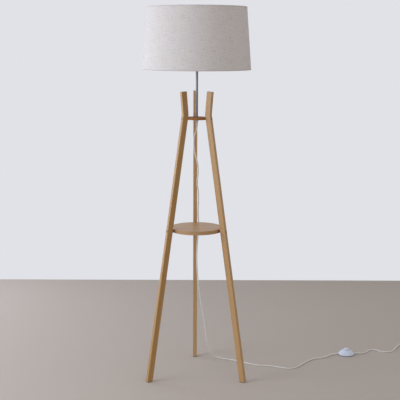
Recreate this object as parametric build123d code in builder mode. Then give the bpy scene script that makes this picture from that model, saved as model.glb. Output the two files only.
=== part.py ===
"""Floor lamp with a small round shelf: three kinked oak legs, a steel stem and a linen shade.

Millimetres. +Z is up, z = 0 is the floor, and the stem's axis is the Z axis.
The rear leg points along +Y. The flex runs over the floor towards +X.
"""

import math
import os

from build123d import *

os.makedirs("parts", exist_ok=True)

# ---------------------------------------------------------------- driving dimensions

# Legs: one straight lower limb, a kink at the hub, one short upper limb that flares out
leg_width = 17.0
leg_depth = 24.0
leg_edge_radius = 1.2
foot_inner_radius = 217.8
kink_inner_radius = 43.8
kink_height = 1129.0
flare_angle = 5.0
upper_limb_length = 97.0
pad_thickness = 2.0
pad_inset = 1.0
rear_azimuth = 90.0
leg_turn = 120.0

# The rear leg stands off the stem's plane, which leaves the flex room to hang past it
rear_leg_offset = 6.5

# Hub plate, just under the kink
hub_plate_drop = 12.0
hub_plate_thickness = 9.4
wood_edge_radius = 0.8

# Shelf, held off the legs by three short spacers
shelf_top = 650.0
shelf_thickness = 16.0
spacer_length = 9.8
spacer_radius = 6.0
spot_face_depth = 0.8
spot_face_clearance = 0.4

# Bolts through the legs, and the threaded inserts that they screw into
bolt_radius = 2.0
bolt_hole_radius = 2.3
bolt_head_radius = 4.6
bolt_head_height = 2.4
bolt_head_clearance = 0.3
bolt_seat_depth = 1.4
bolt_key_radius = 1.7
bolt_key_depth = 1.4
bolt_tip_margin = 1.0
insert_radius = 3.0
insert_length = 12.0
thread_clearance = 0.05
blind_hole_margin = 1.5
cut_margin = 1.0
part_gap = 0.1

# Stem and the hardware that clamps it to the hub plate
stem_radius = 5.0
stem_wall = 1.0
stem_hole_clearance = 0.2
lock_nut_flats = 14.0
lock_nut_height = 2.8
lock_nut_recess_radius = 8.6
lock_nut_recess_depth = 3.0
washer_radius = 7.5
washer_thickness = 1.2
stem_nut_flats = 13.0
stem_nut_height = 4.0
stem_end_length = 1.2
nut_chamfer = 0.3

# Flex and the tapered gland that it leaves the stem by
cord_radius = 2.75
cord_bore_clearance = 0.1
floor_clearance = 0.05
gland_plug_length = 8.0
gland_plug_clearance = 0.1
gland_length = 22.0
gland_shoulder_length = 4.4
gland_tip_radius = 3.6

# Lampholder, a plastic two-part shell round a screw socket
holder_cap_radius = 21.6
holder_cap_height = 39.0
holder_cap_wall = 1.7
holder_neck_radius = 8.0
holder_neck_height = 7.0
holder_dome_height = 8.0
holder_sleeve_radius = 19.6
holder_sleeve_bore = 16.6
holder_sleeve_above = 20.0
holder_sleeve_below = 14.0
holder_flange_radius = 24.0
holder_flange_thickness = 3.0
holder_lip_radius = 14.4
holder_lip_height = 7.0
holder_fit_clearance = 0.3
insulator_thickness = 8.0
socket_radius = 13.45
socket_wall = 0.4
socket_height = 26.0
contact_thickness = 0.6
contact_width = 6.0
terminal_offset = 9.0
terminal_head_radius = 2.6
terminal_head_height = 1.6
terminal_shank_radius = 1.5
terminal_shank_length = 5.0
wire_radius = 0.9
wire_bend_radius = 1.4
wire_rise = 4.4
wire_end_length = 3.8
tongue_length = 12.0
shade_ring_radius = 24.4
shade_ring_height = 7.0
shade_ring_notches = 12
shade_ring_notch_radius = 1.2

# Bulb
bulb_cap_radius = 13.1
bulb_cap_wall = 0.4
bulb_cap_height = 23.5
bulb_tip_radius = 4.0
bulb_tip_height = 0.8
bulb_cone_height = 2.7
bulb_globe_radius = 30.0
bulb_height = 105.0
bulb_glass_wall = 1.0
bulb_neck_radius = 12.4
bulb_neck_depth = 3.0
bulb_neck_rise = 1.0
bulb_join_angle = -38.0

# Shade, a tapered drum of linen on a stiff lining
shade_rise = 197.0
shade_height = 258.0
shade_bottom_radius = 225.0
shade_top_radius = 206.0
cover_thickness = 0.9
lining_thickness = 0.7
bond_gap = 0.3
tape_thickness = 0.6
tape_width = 5.0
ring_wire_radius = 2.0
spider_recess = 42.0
spider_bend_radius = 12.0
spider_azimuths = (30.0, 150.0, 270.0)
fitter_inner_radius = 20.2
fitter_outer_radius = 28.0
fitter_thickness = 2.0
arm_weld_overlap = 1.6

# Foot switch, where it lies on the floor
switch_x = 694.0
switch_y = 256.0
switch_turn = 4.0
switch_radius = 36.0
switch_height = 30.0
switch_cover_edge_height = 7.0
switch_cover_top = 23.4
switch_cover_wall = 2.0
switch_cover_gap = 3.0
switch_cover_bulge = 1.4
switch_cover_flat = 2.8
switch_base_clearance = 0.2
switch_base_floor = 2.2
switch_base_rim = 2.0
switch_pad_thickness = 1.0
switch_pad_inset = 3.0
switch_pad_hole_margin = 1.0
switch_cord_height = 6.5
button_radius = 12.2
button_clearance = 0.35
button_flange_radius = 14.6
button_flange_thickness = 1.6
button_wall = 1.6
button_edge_radius = 2.2
button_travel = 3.5
bridge_thickness = 0.6
bridge_inset = 0.8
contact_gap = 0.4
block_radius = 11.0
block_recess_radius = 5.2
block_recess_depth = 4.0
spring_radius = 4.2
spring_wire_radius = 0.45
spring_turns = 5
terminal_block_length = 8.0
terminal_block_width = 12.0
terminal_block_height = 8.0
terminal_gap = 1.0
terminal_bore_clearance = 0.1
strip_thickness = 0.6
strip_width = 5.0
strip_inset = 1.0
clamp_length = 6.0
clamp_width = 14.0
clamp_height = 2.4
clamp_screw_offset = 5.0
clamp_gap = 1.0
switch_screw_radius = 1.4
switch_screw_head_radius = 2.6
switch_screw_head_height = 1.4
switch_screw_circle = 25.0
switch_screw_azimuths = (90.0, 210.0, 330.0)
switch_screw_bite = 4.2
switch_post_radius = 3.6

# Put-away coil, just past where the flex leaves the picture, and the plug beside it
coil_x = 1052.0
coil_y = 490.0
coil_mean_radius = 30.0
coil_turn_pitch = 6.0
coil_layer_pitch = 6.0
coil_turns_in = 2
coil_approach = 40.0
plug_width = 36.0
plug_length = 38.0
plug_edge_radius = 6.0
plug_top_radius = 2.0
plug_bottom_radius = 1.0
plug_relief_length = 28.0
plug_relief_radius = 5.6
pin_radius = 2.0
pin_length = 19.0
pin_spacing = 18.6
pin_root_depth = 4.0
pin_root_radius = 1.5
pin_tip_radius = 0.8

# ---------------------------------------------------------------- derived sizes

lower_slope = (foot_inner_radius - kink_inner_radius) / kink_height
splay_angle = math.degrees(math.atan(lower_slope))
limb_offset = leg_depth / math.cos(math.radians(splay_angle))

leg_azimuths = {
    "front_left": rear_azimuth + leg_turn,
    "front_right": rear_azimuth - leg_turn,
    "rear": rear_azimuth,
}

# How far each leg's middle plane lies anticlockwise of the stem, by azimuth
leg_offsets = {
    leg_azimuths["front_left"]: 0.0,
    leg_azimuths["front_right"]: 0.0,
    leg_azimuths["rear"]: rear_leg_offset,
}

hub_plate_top = kink_height - hub_plate_drop
hub_plate_bottom = hub_plate_top - hub_plate_thickness
hub_plate_middle = hub_plate_top - hub_plate_thickness / 2
shelf_middle = shelf_top - shelf_thickness / 2
stem_bore = stem_radius - stem_wall
stem_bottom = hub_plate_bottom - washer_thickness - stem_nut_height - stem_end_length
gland_bottom = stem_bottom - gland_length
cord_floor_height = cord_radius + floor_clearance

shade_bottom = hub_plate_top + shade_rise
fitter_height = shade_bottom + spider_recess
holder_seat = fitter_height - fitter_thickness / 2
holder_bottom = holder_seat - holder_flange_thickness - holder_cap_height
insulator_top = holder_seat - holder_sleeve_below
insulator_bottom = insulator_top - insulator_thickness
stem_top = holder_bottom + holder_neck_height + holder_cap_wall
shade_top = shade_bottom + shade_height
bulb_bottom = insulator_top + 2 * contact_thickness

switch_inner_height = switch_pad_thickness + switch_base_floor
coil_top_height = cord_floor_height + coil_layer_pitch


def inner_radius(height):
    """Distance from the axis to a leg's inner face, on the lower limb."""
    return foot_inner_radius - height * lower_slope


def outer_radius(height):
    """Distance from the axis to a leg's outer face, on the lower limb."""
    return inner_radius(height) + limb_offset


def shade_radius(height):
    """Outer radius of the shade's cover at a height above the floor."""
    share = (height - shade_bottom) / shade_height
    return shade_bottom_radius + share * (shade_top_radius - shade_bottom_radius)


def direction(azimuth):
    """Unit vector that points away from the axis at an azimuth."""
    angle = math.radians(azimuth)
    return Vector(math.cos(angle), math.sin(angle), 0)


def radial_plane(azimuth, sideways=0.0):
    """Upright plane along an azimuth: local x runs outwards and local y runs up."""
    outwards = direction(azimuth)
    start = direction(azimuth + 90) * sideways
    return Plane(origin=start, x_dir=outwards, z_dir=outwards.cross(Vector(0, 0, 1)))


def facing_plane(azimuth, radius, height, sideways=0.0):
    """Upright plane square to the azimuth, which faces outwards at a radius and height."""
    outwards = direction(azimuth)
    centre = outwards * radius + direction(azimuth + 90) * sideways + Vector(0, 0, height)
    return Plane(origin=centre, x_dir=(0, 0, 1), z_dir=outwards)


switch_heading = direction(switch_turn)
switch_middle = Vector(switch_x, switch_y, switch_cord_height)
switch_inlet = switch_middle - switch_heading * switch_radius
switch_outlet = switch_middle + switch_heading * switch_radius


def save(piece, name):
    """Labels a finished piece and writes it as the node of that name."""
    piece.part.label = name
    export_step(piece.part, f"parts/{name}.step")


# ---------------------------------------------------------------- legs and their pads


def leg_outline():
    """Corners of a leg's side view, from the inner edge of the foot and round."""
    flare = math.radians(flare_angle)
    splay = math.radians(splay_angle)
    half_bend = (splay + flare) / 2
    reach = leg_depth / math.cos(half_bend)
    turn = (splay - flare) / 2
    tip_radius = kink_inner_radius + upper_limb_length * math.sin(flare)
    tip_height = kink_height + upper_limb_length * math.cos(flare)
    return [
        (inner_radius(pad_thickness), pad_thickness),
        (kink_inner_radius, kink_height),
        (tip_radius, tip_height),
        (tip_radius + leg_depth * math.cos(flare), tip_height - leg_depth * math.sin(flare)),
        (kink_inner_radius + reach * math.cos(turn), kink_height + reach * math.sin(turn)),
        (outer_radius(pad_thickness), pad_thickness),
    ]


def bolt_seat(height):
    """Distance from the axis to the seat of a bolt's head in a leg."""
    return outer_radius(height) - bolt_seat_depth


def make_leg(name, azimuth):
    """A leg: the kinked profile, eased along its edges and drilled for its two bolts."""
    offset_here = leg_offsets[azimuth]
    with BuildPart() as leg:
        with BuildSketch(radial_plane(azimuth, offset_here)):
            with BuildLine():
                Polyline(*leg_outline(), close=True)
            make_face()
        extrude(amount=leg_width / 2, both=True)
        side_faces = leg.faces().sort_by(SortBy.AREA)[-2:]
        fillet(side_faces.edges(), leg_edge_radius)
        for height in (hub_plate_middle, shelf_middle):
            hole_start = inner_radius(height) - leg_depth
            with BuildSketch(facing_plane(azimuth, hole_start, height, offset_here)):
                Circle(bolt_hole_radius)
            extrude(amount=3 * leg_depth, mode=Mode.SUBTRACT)
            with BuildSketch(facing_plane(azimuth, bolt_seat(height), height, offset_here)):
                Circle(bolt_head_radius + bolt_head_clearance)
            extrude(amount=leg_depth, mode=Mode.SUBTRACT)
    save(leg, f"leg_{name}")


def make_pad(name, azimuth):
    """The felt pad under a leg, a little inside the foot's outline."""
    pad_from = inner_radius(pad_thickness) + pad_inset
    pad_to = outer_radius(pad_thickness) - pad_inset
    with BuildPart() as pad:
        with BuildSketch(radial_plane(azimuth, leg_offsets[azimuth])):
            with BuildLine():
                Polyline((pad_from, 0), (pad_to, 0), (pad_to, pad_thickness),
                         (pad_from, pad_thickness), close=True)
            make_face()
        extrude(amount=leg_width / 2 - pad_inset, both=True)
    save(pad, f"pad_{name}")


for leg_name, leg_azimuth in leg_azimuths.items():
    make_leg(leg_name, leg_azimuth)
    make_pad(leg_name, leg_azimuth)

# ---------------------------------------------------------------- hub plate and shelf


insert_hole_depth = insert_length + blind_hole_margin

# The plate's rim has a flat against each leg, cut to the leg's slope
hub_contact_radius = inner_radius(hub_plate_middle)
hub_plate_radius = math.hypot(hub_contact_radius, leg_width / 2)
hub_hole_bottom = hub_contact_radius - insert_hole_depth
cut_bottom = hub_plate_bottom - cut_margin
cut_top = hub_plate_top + cut_margin

with BuildPart() as hub_plate:
    with BuildSketch(Plane.XY.offset(hub_plate_bottom)):
        Circle(hub_plate_radius)
    extrude(amount=hub_plate_thickness)
    rims = hub_plate.edges().filter_by(GeomType.CIRCLE)
    fillet(rims, wood_edge_radius)
    for azimuth, sideways in leg_offsets.items():
        with BuildSketch(radial_plane(azimuth, sideways)):
            with BuildLine():
                Polyline(
                    (inner_radius(cut_bottom), cut_bottom),
                    (hub_plate_radius + leg_depth, cut_bottom),
                    (hub_plate_radius + leg_depth, cut_top),
                    (inner_radius(cut_top), cut_top),
                    close=True,
                )
            make_face()
        extrude(amount=leg_width, both=True, mode=Mode.SUBTRACT)
        with BuildSketch(facing_plane(azimuth, hub_hole_bottom, hub_plate_middle, sideways)):
            Circle(insert_radius)
        extrude(amount=leg_depth, mode=Mode.SUBTRACT)
    with BuildSketch(Plane.XY.offset(hub_plate_bottom)):
        Circle(stem_radius + stem_hole_clearance)
    extrude(amount=hub_plate_thickness, mode=Mode.SUBTRACT)
    with BuildSketch(Plane.XY.offset(hub_plate_top - lock_nut_recess_depth)):
        Circle(lock_nut_recess_radius)
    extrude(amount=lock_nut_recess_depth, mode=Mode.SUBTRACT)
save(hub_plate, "hub_plate")

shelf_radius = inner_radius(shelf_middle) - spacer_length
spacer_seat = shelf_radius - spot_face_depth
shelf_hole_bottom = spacer_seat - insert_hole_depth

with BuildPart() as shelf:
    with BuildSketch(Plane.XY.offset(shelf_top - shelf_thickness)):
        Circle(shelf_radius)
    extrude(amount=shelf_thickness)
    fillet(shelf.edges().filter_by(GeomType.CIRCLE), wood_edge_radius)
    for azimuth, sideways in leg_offsets.items():
        with BuildSketch(facing_plane(azimuth, spacer_seat, shelf_middle, sideways)):
            Circle(spacer_radius + spot_face_clearance)
        extrude(amount=spacer_length, mode=Mode.SUBTRACT)
        with BuildSketch(facing_plane(azimuth, shelf_hole_bottom, shelf_middle, sideways)):
            Circle(insert_radius)
        extrude(amount=leg_depth, mode=Mode.SUBTRACT)
save(shelf, "shelf")

with BuildPart() as shelf_spacers:
    for azimuth, sideways in leg_offsets.items():
        with BuildSketch(facing_plane(azimuth, spacer_seat, shelf_middle, sideways)):
            Circle(spacer_radius)
            Circle(bolt_hole_radius, mode=Mode.SUBTRACT)
        extrude(amount=spacer_length + 2 * spacer_radius)
    for azimuth, sideways in leg_offsets.items():
        with BuildSketch(radial_plane(azimuth, sideways)):
            with BuildLine():
                Polyline(
                    (inner_radius(shelf_top), shelf_top),
                    (inner_radius(shelf_top) + 2 * leg_depth, shelf_top),
                    (inner_radius(shelf_top) + 2 * leg_depth, shelf_top - shelf_thickness),
                    (inner_radius(shelf_top - shelf_thickness), shelf_top - shelf_thickness),
                    close=True,
                )
            make_face()
        extrude(amount=leg_width, both=True, mode=Mode.SUBTRACT)
save(shelf_spacers, "shelf_spacers")

# ---------------------------------------------------------------- bolts and inserts


def make_bolts(name, height, edge_radius):
    """Three bolts with flat heads, one through each leg into the edge of a board."""
    seat = bolt_seat(height)
    tip = edge_radius - insert_length + bolt_tip_margin
    with BuildPart() as bolts:
        for azimuth, sideways in leg_offsets.items():
            with BuildSketch(facing_plane(azimuth, tip, height, sideways)):
                Circle(bolt_radius)
            extrude(amount=seat - tip)
            with BuildSketch(facing_plane(azimuth, seat, height, sideways)):
                Circle(bolt_head_radius)
            extrude(amount=bolt_head_height)
        key_bottom = seat + bolt_head_height - bolt_key_depth
        for azimuth, sideways in leg_offsets.items():
            with BuildSketch(facing_plane(azimuth, key_bottom, height, sideways)):
                RegularPolygon(radius=bolt_key_radius, side_count=6)
            extrude(amount=bolt_key_depth, mode=Mode.SUBTRACT)
    save(bolts, name)


def make_inserts(name, height, edge_radius):
    """Three threaded sleeves, set flush into the edge of a board."""
    with BuildPart() as inserts:
        inner_end = edge_radius - insert_length
        for azimuth, sideways in leg_offsets.items():
            with BuildSketch(facing_plane(azimuth, inner_end, height, sideways)):
                Circle(insert_radius)
                Circle(bolt_radius + thread_clearance, mode=Mode.SUBTRACT)
            extrude(amount=insert_length)
    save(inserts, name)


# At the plate the sleeves stop short of the sloping flat, at its inner side
hub_insert_edge = inner_radius(hub_plate_middle + insert_radius) - thread_clearance
make_bolts("plate_bolts", hub_plate_middle, hub_insert_edge)
make_inserts("plate_inserts", hub_plate_middle, hub_insert_edge)
make_bolts("shelf_bolts", shelf_middle, spacer_seat)
make_inserts("shelf_inserts", shelf_middle, spacer_seat)

# ---------------------------------------------------------------- stem and its hardware

with BuildPart() as stem:
    with BuildSketch(Plane.XY.offset(stem_bottom)):
        Circle(stem_radius)
        Circle(stem_bore, mode=Mode.SUBTRACT)
    extrude(amount=stem_top - stem_bottom)
save(stem, "stem")


def make_nut(name, flats, bottom, height):
    """A hexagon nut on the stem's thread."""
    with BuildPart() as nut:
        with BuildSketch(Plane.XY.offset(bottom)):
            RegularPolygon(radius=flats / 2, side_count=6, major_radius=False)
            Circle(stem_radius + thread_clearance, mode=Mode.SUBTRACT)
        extrude(amount=height)
        chamfer(nut.edges().filter_by(Plane.XY).filter_by(GeomType.LINE), nut_chamfer)
    save(nut, name)


make_nut("lock_nut", lock_nut_flats, hub_plate_top - lock_nut_recess_depth, lock_nut_height)
make_nut("stem_nut", stem_nut_flats, stem_bottom + stem_end_length, stem_nut_height)

with BuildPart() as stem_washer:
    with BuildSketch(Plane.XY.offset(hub_plate_bottom - washer_thickness)):
        Circle(washer_radius)
        Circle(stem_radius + stem_hole_clearance, mode=Mode.SUBTRACT)
    extrude(amount=washer_thickness)
save(stem_washer, "stem_washer")

# The gland: a plug inside the stem, a collar under its end and a long taper
gland_bore = cord_radius + cord_bore_clearance

with BuildPart() as cord_gland:
    with BuildSketch(Plane.XZ):
        with BuildLine():
            Polyline(
                (gland_bore, gland_bottom),
                (gland_tip_radius, gland_bottom),
                (stem_radius, stem_bottom - gland_shoulder_length),
                (stem_radius, stem_bottom),
                (stem_bore - gland_plug_clearance, stem_bottom),
                (stem_bore - gland_plug_clearance, stem_bottom + gland_plug_length),
                (gland_bore, stem_bottom + gland_plug_length),
                close=True,
            )
        make_face()
    revolve(axis=Axis.Z)
save(cord_gland, "cord_gland")

flex_top = insulator_bottom - terminal_head_height - wire_rise - wire_end_length

with BuildPart() as stem_flex:
    with BuildSketch(Plane.XY.offset(gland_bottom)):
        Circle(cord_radius)
    extrude(amount=flex_top - gland_bottom)
save(stem_flex, "stem_flex")

# ---------------------------------------------------------------- lampholder

holder_cap_top = holder_bottom + holder_cap_height
holder_cap_bore = holder_cap_radius - holder_cap_wall
holder_ledge_radius = holder_cap_bore - 2 * holder_cap_wall
neck_top = holder_bottom + holder_neck_height
dome_top = neck_top + holder_dome_height

with BuildPart() as holder_cap:
    with BuildSketch(Plane.XZ):
        with BuildLine():
            Polyline(
                (stem_radius + thread_clearance, holder_bottom),
                (holder_neck_radius, holder_bottom),
                (holder_neck_radius, neck_top),
                (holder_cap_radius, dome_top),
                (holder_cap_radius, holder_cap_top),
                (holder_cap_bore, holder_cap_top),
                (holder_cap_bore, insulator_bottom),
                (holder_ledge_radius, insulator_bottom),
                (holder_ledge_radius, dome_top),
                (holder_neck_radius, neck_top + holder_cap_wall),
                (stem_radius + thread_clearance, neck_top + holder_cap_wall),
                close=True,
            )
        make_face()
    revolve(axis=Axis.Z)
save(holder_cap, "holder_cap")

sleeve_top = holder_seat + holder_sleeve_above

with BuildPart() as holder_sleeve:
    with BuildSketch(Plane.XZ):
        with BuildLine():
            Polyline(
                (holder_sleeve_bore, insulator_top),
                (holder_sleeve_radius, insulator_top),
                (holder_sleeve_radius, holder_seat - holder_flange_thickness),
                (holder_flange_radius, holder_seat - holder_flange_thickness),
                (holder_flange_radius, holder_seat),
                (holder_sleeve_radius, holder_seat),
                (holder_sleeve_radius, sleeve_top),
                (holder_lip_radius, sleeve_top),
                (holder_lip_radius, sleeve_top - holder_lip_height),
                (holder_sleeve_bore, sleeve_top - holder_lip_height),
                close=True,
            )
        make_face()
    revolve(axis=Axis.Z)
save(holder_sleeve, "holder_sleeve")

terminal_spots = [(-terminal_offset, 0), (terminal_offset, 0)]

with BuildPart() as holder_insulator:
    with BuildSketch(Plane.XY.offset(insulator_bottom)):
        Circle(holder_cap_bore - holder_fit_clearance)
    extrude(amount=insulator_thickness)
    with BuildSketch(Plane.XY.offset(insulator_bottom)):
        with Locations(*terminal_spots):
            Circle(terminal_shank_radius + thread_clearance)
    extrude(amount=terminal_shank_length + blind_hole_margin, mode=Mode.SUBTRACT)
save(holder_insulator, "holder_insulator")

with BuildPart() as holder_screws:
    with BuildSketch(Plane.XY.offset(insulator_bottom)):
        with Locations(*terminal_spots):
            Circle(terminal_shank_radius)
    extrude(amount=terminal_shank_length)
    with BuildSketch(Plane.XY.offset(insulator_bottom)):
        with Locations(*terminal_spots):
            Circle(terminal_head_radius)
    extrude(amount=-terminal_head_height)
save(holder_screws, "holder_screws")

with BuildPart() as holder_shell:
    with BuildSketch(Plane.XY.offset(insulator_top)):
        Circle(socket_radius + socket_wall)
        Circle(socket_radius, mode=Mode.SUBTRACT)
    extrude(amount=socket_height)
save(holder_shell, "holder_shell")

# Two brass pieces: the tongue under the bulb's tip, and the lug that feeds the shell
lug_from = socket_radius + socket_wall
lug_to = holder_sleeve_bore - 2 * holder_fit_clearance

with BuildPart() as holder_contacts:
    with BuildSketch(Plane.XY.offset(insulator_top)):
        with Locations((contact_width / 2, 0)):
            Rectangle(tongue_length, contact_width, align=(Align.MAX, Align.CENTER))
    extrude(amount=contact_thickness)
    with BuildSketch(Plane.XY.offset(insulator_top + contact_thickness)):
        Circle(contact_width / 2)
    extrude(amount=contact_thickness)
    with BuildSketch(Plane.XY.offset(insulator_top)):
        with Locations(((lug_from + lug_to) / 2 + part_gap, 0)):
            Rectangle(lug_to - lug_from, contact_width)
    extrude(amount=contact_width)
save(holder_contacts, "holder_contacts")


def wire_route(side):
    """Points of one conductor, from the flex's end up to the underside of its screw."""
    screw_underside = insulator_bottom - terminal_head_height
    return [
        Vector(side * cord_radius / 2, 0, flex_top),
        Vector(side * cord_radius / 2, 0, flex_top + wire_rise),
        Vector(side * terminal_offset, 0, flex_top + wire_rise),
        Vector(side * terminal_offset, 0, screw_underside),
    ]


with BuildPart() as holder_wires:
    for side in (-1, 1):
        with BuildLine() as wire_path:
            FilletPolyline(*wire_route(side), radius=wire_bend_radius)
        with BuildSketch(Plane(origin=wire_path.line @ 0, z_dir=wire_path.line % 0)):
            Circle(wire_radius)
        sweep(path=wire_path.line)
save(holder_wires, "holder_wires")

with BuildPart() as shade_ring:
    with BuildSketch(Plane.XY.offset(fitter_height + fitter_thickness / 2)):
        Circle(shade_ring_radius)
        Circle(holder_sleeve_radius + holder_fit_clearance, mode=Mode.SUBTRACT)
        with PolarLocations(shade_ring_radius, shade_ring_notches):
            Circle(shade_ring_notch_radius, mode=Mode.SUBTRACT)
    extrude(amount=shade_ring_height)
save(shade_ring, "shade_ring")

# ---------------------------------------------------------------- bulb

bulb_tip_top = bulb_bottom + bulb_tip_height
bulb_cone_top = bulb_tip_top + bulb_cone_height
bulb_cap_top = bulb_cone_top + bulb_cap_height
globe_centre = bulb_bottom + bulb_height - bulb_globe_radius

with BuildPart() as bulb_contact:
    with BuildSketch(Plane.XZ):
        with BuildLine():
            Polyline(
                (0, bulb_bottom),
                (bulb_tip_radius, bulb_bottom),
                (bulb_tip_radius, bulb_tip_top),
                (bulb_cap_radius - bulb_cap_wall, bulb_cone_top),
                (0, bulb_cone_top),
                close=True,
            )
        make_face()
    revolve(axis=Axis.Z)
save(bulb_contact, "bulb_contact")

with BuildPart() as bulb_cap:
    with BuildSketch(Plane.XY.offset(bulb_cone_top)):
        Circle(bulb_cap_radius)
    extrude(amount=bulb_cap_height)
    with BuildSketch(Plane.XY.offset(bulb_cone_top + bulb_cap_wall)):
        Circle(bulb_cap_radius - bulb_cap_wall)
    extrude(amount=bulb_cap_height, mode=Mode.SUBTRACT)
save(bulb_cap, "bulb_cap")


def globe_profile(inset):
    """Half section of the glass: a straight neck, then a cone that meets the round globe."""
    radius = bulb_globe_radius - inset
    neck = bulb_neck_radius - inset
    neck_bottom = bulb_cap_top - bulb_neck_depth
    join_angle = math.radians(bulb_join_angle)
    join = (radius * math.cos(join_angle), globe_centre + radius * math.sin(join_angle))
    side = (radius, globe_centre)
    top = (0, globe_centre + radius)
    shoulder = (radius * math.cos(math.pi / 4), globe_centre + radius * math.sin(math.pi / 4))
    Polyline((0, neck_bottom), (neck, neck_bottom), (neck, bulb_cap_top + bulb_neck_rise), join)
    ThreePointArc(join, (radius * math.cos(join_angle / 2),
                         globe_centre + radius * math.sin(join_angle / 2)), side)
    ThreePointArc(side, shoulder, top)
    Line(top, (0, neck_bottom))


with BuildPart() as bulb_glass:
    with BuildSketch(Plane.XZ):
        with BuildLine():
            globe_profile(0)
        make_face()
    revolve(axis=Axis.Z)
    with BuildSketch(Plane.XZ):
        with BuildLine():
            globe_profile(bulb_glass_wall)
        make_face()
    revolve(axis=Axis.Z, mode=Mode.SUBTRACT)
save(bulb_glass, "bulb_glass")

# ---------------------------------------------------------------- shade


def make_drum(name, inset, thickness, bottom, top):
    """A thin tapered drum, set in from the shade's outer face."""
    with BuildPart() as drum:
        with BuildSketch(Plane.XZ):
            with BuildLine():
                Polyline(
                    (shade_radius(bottom) - inset - thickness, bottom),
                    (shade_radius(bottom) - inset, bottom),
                    (shade_radius(top) - inset, top),
                    (shade_radius(top) - inset - thickness, top),
                    close=True,
                )
            make_face()
        revolve(axis=Axis.Z)
    save(drum, name)


drum_bottom = shade_bottom + tape_thickness
drum_top = shade_top - tape_thickness
lining_inset = cover_thickness + bond_gap
make_drum("shade_cover", 0, cover_thickness, drum_bottom, drum_top)
make_drum("shade_lining", lining_inset, lining_thickness, drum_bottom, drum_top)

wire_inset = lining_inset + lining_thickness + bond_gap + ring_wire_radius
wire_lift = tape_thickness + bond_gap + ring_wire_radius


def make_wire_ring(name, height):
    """A round steel wire that holds one rim of the shade open."""
    with BuildPart() as wire_ring:
        with BuildSketch(Plane.XZ):
            with Locations((shade_radius(height) - wire_inset, height)):
                Circle(ring_wire_radius)
        revolve(axis=Axis.Z)
    save(wire_ring, name)


bottom_ring_height = shade_bottom + wire_lift
make_wire_ring("shade_bottom_ring", bottom_ring_height)
make_wire_ring("shade_top_ring", shade_top - wire_lift)


def make_tape(name, rim, inwards):
    """The tape that is rolled over a rim: outside the cover, and across under the wire."""
    outer_end = rim + inwards * tape_width
    inner_edge = shade_radius(rim) - wire_inset - ring_wire_radius
    across = rim + inwards * tape_thickness
    with BuildPart() as tape:
        with BuildSketch(Plane.XZ):
            with BuildLine():
                Polyline(
                    (inner_edge, rim),
                    (shade_radius(rim) + bond_gap + tape_thickness, rim),
                    (shade_radius(outer_end) + bond_gap + tape_thickness, outer_end),
                    (shade_radius(outer_end) + bond_gap, outer_end),
                    (shade_radius(across) + bond_gap, across),
                    (inner_edge, across),
                    close=True,
                )
            make_face()
        revolve(axis=Axis.Z)
    save(tape, name)


make_tape("shade_tape_bottom", shade_bottom, 1)
make_tape("shade_tape_top", shade_top, -1)

# Three arms rise inside the lining from the lower wire, then run in to the fitting ring
arm_start = bottom_ring_height + ring_wire_radius + bond_gap
arm_foot_radius = shade_radius(arm_start) - wire_inset
arm_bend_radius = shade_radius(fitter_height) - wire_inset - bond_gap

with BuildPart() as shade_spider:
    with BuildSketch(Plane.XY.offset(holder_seat)):
        Circle(fitter_outer_radius)
        Circle(fitter_inner_radius, mode=Mode.SUBTRACT)
    extrude(amount=fitter_thickness)
    for azimuth in spider_azimuths:
        with BuildLine(radial_plane(azimuth)) as arm_path:
            FilletPolyline(
                (arm_foot_radius, arm_start),
                (arm_bend_radius, fitter_height),
                (fitter_outer_radius - arm_weld_overlap, fitter_height),
                radius=spider_bend_radius,
            )
        with BuildSketch(Plane(origin=arm_path.line @ 0, z_dir=arm_path.line % 0)):
            Circle(ring_wire_radius)
        sweep(path=arm_path.line)
save(shade_spider, "shade_spider")

# ---------------------------------------------------------------- foot switch

switch_floor = Plane(origin=(switch_x, switch_y, 0), x_dir=switch_heading, z_dir=(0, 0, 1))
switch_axis = Axis((switch_x, switch_y, 0), (0, 0, 1))
switch_section = Plane(origin=(switch_x, switch_y, 0), x_dir=(1, 0, 0), z_dir=(0, -1, 0))
switch_cord_plane = Plane(origin=switch_inlet, x_dir=(0, 0, 1), z_dir=switch_heading)
base_radius = switch_radius - switch_cover_wall - switch_base_clearance
cover_opening = button_radius + button_clearance
cord_notch_radius = cord_radius + cord_bore_clearance


def screw_locations():
    """Places of the three screws that hold the base to the cover."""
    return [direction(azimuth) * switch_screw_circle for azimuth in switch_screw_azimuths]


with BuildPart() as switch_pad:
    with BuildSketch(switch_floor):
        Circle(base_radius - switch_pad_inset)
        with Locations(*screw_locations()):
            Circle(switch_screw_head_radius + switch_pad_hole_margin, mode=Mode.SUBTRACT)
    extrude(amount=switch_pad_thickness)
save(switch_pad, "switch_pad")

with BuildPart() as switch_base:
    with BuildSketch(switch_floor.offset(switch_pad_thickness)):
        Circle(base_radius)
    extrude(amount=switch_base_floor + switch_base_rim)
    with BuildSketch(switch_floor.offset(switch_inner_height)):
        Circle(base_radius - switch_cover_wall)
    extrude(amount=switch_base_rim, mode=Mode.SUBTRACT)
    with BuildSketch(switch_floor.offset(switch_pad_thickness)):
        with Locations(*screw_locations()):
            Circle(switch_screw_radius + part_gap)
    extrude(amount=switch_base_floor, mode=Mode.SUBTRACT)
    with BuildSketch(switch_floor.offset(switch_pad_thickness)):
        with Locations(*screw_locations()):
            Circle(switch_screw_head_radius + part_gap)
    extrude(amount=switch_screw_head_height, mode=Mode.SUBTRACT)
    with BuildSketch(switch_cord_plane):
        Circle(cord_notch_radius)
    extrude(amount=2 * switch_radius, mode=Mode.SUBTRACT)
save(switch_base, "switch_base")


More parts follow.
